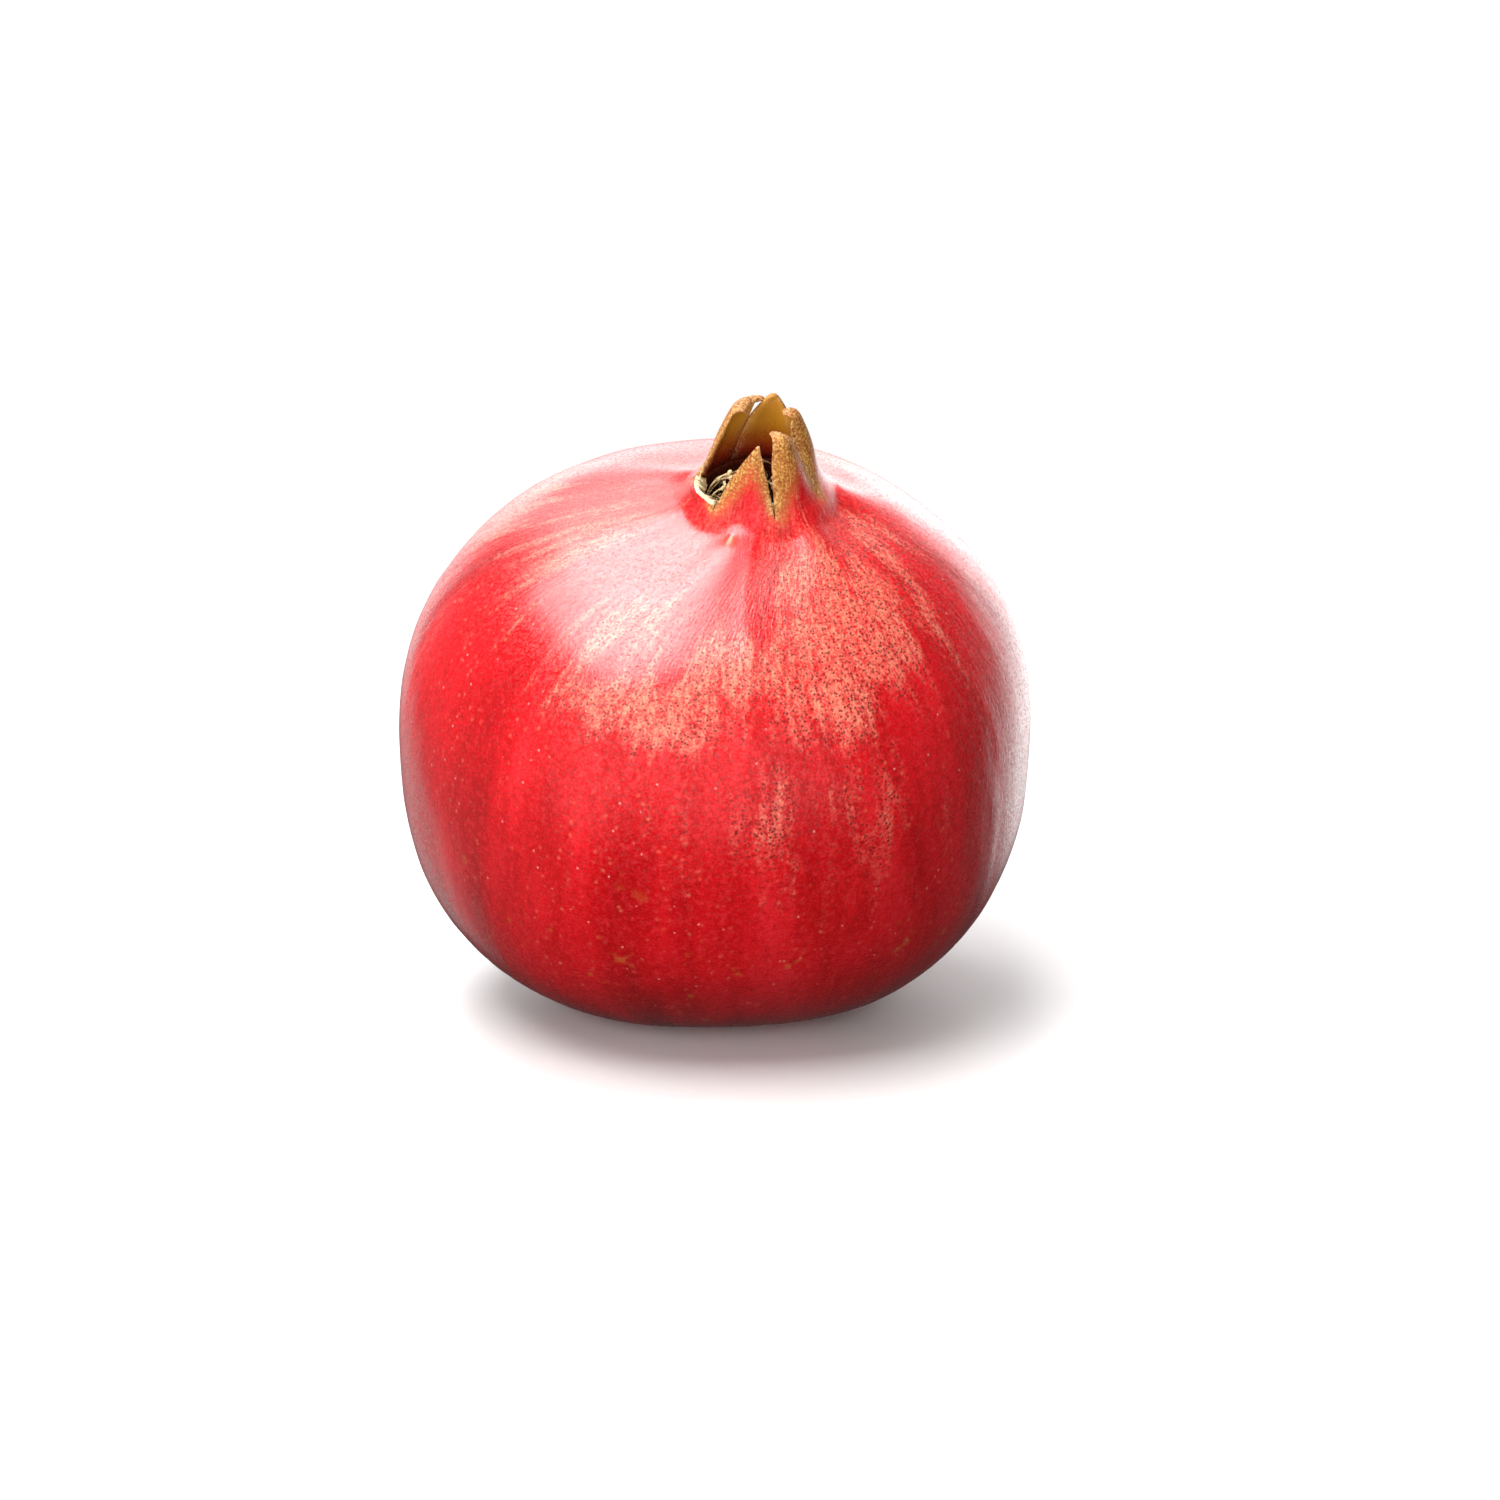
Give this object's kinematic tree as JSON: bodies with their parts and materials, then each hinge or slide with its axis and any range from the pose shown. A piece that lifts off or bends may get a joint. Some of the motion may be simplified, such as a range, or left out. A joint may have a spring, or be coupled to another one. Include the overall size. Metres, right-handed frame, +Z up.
{
  "type": "pomegranate",
  "caption": "Whole ripe pomegranate with a glossy red rind and a dried calyx crown, lying with its crown leaning forward on a small flat spot.",
  "frame": {"origin": "centre of the flat spot that the fruit rests on, on its underside", "axes": "+Z up from the resting surface; the crown leans 20 degrees from +Z towards -Y, which is the front; +X is to the right seen from the front"},
  "size_m": [0.0995, 0.0989, 0.1012],
  "materials": {
    "rind": "smooth waxy red skin with a satin gloss, streaked salmon on the shoulder, dry olive-tan at the crown",
    "filament": "dry matt cream threads",
    "style": "dry matt brown",
    "stalk": "dry matt bark with a rough cut end"
  },
  "bodies": {
    "root": {"fruit": "rind", "stamens": "filament", "style": "style", "stalk_stub": "stalk"}
  },
  "joints": []
}
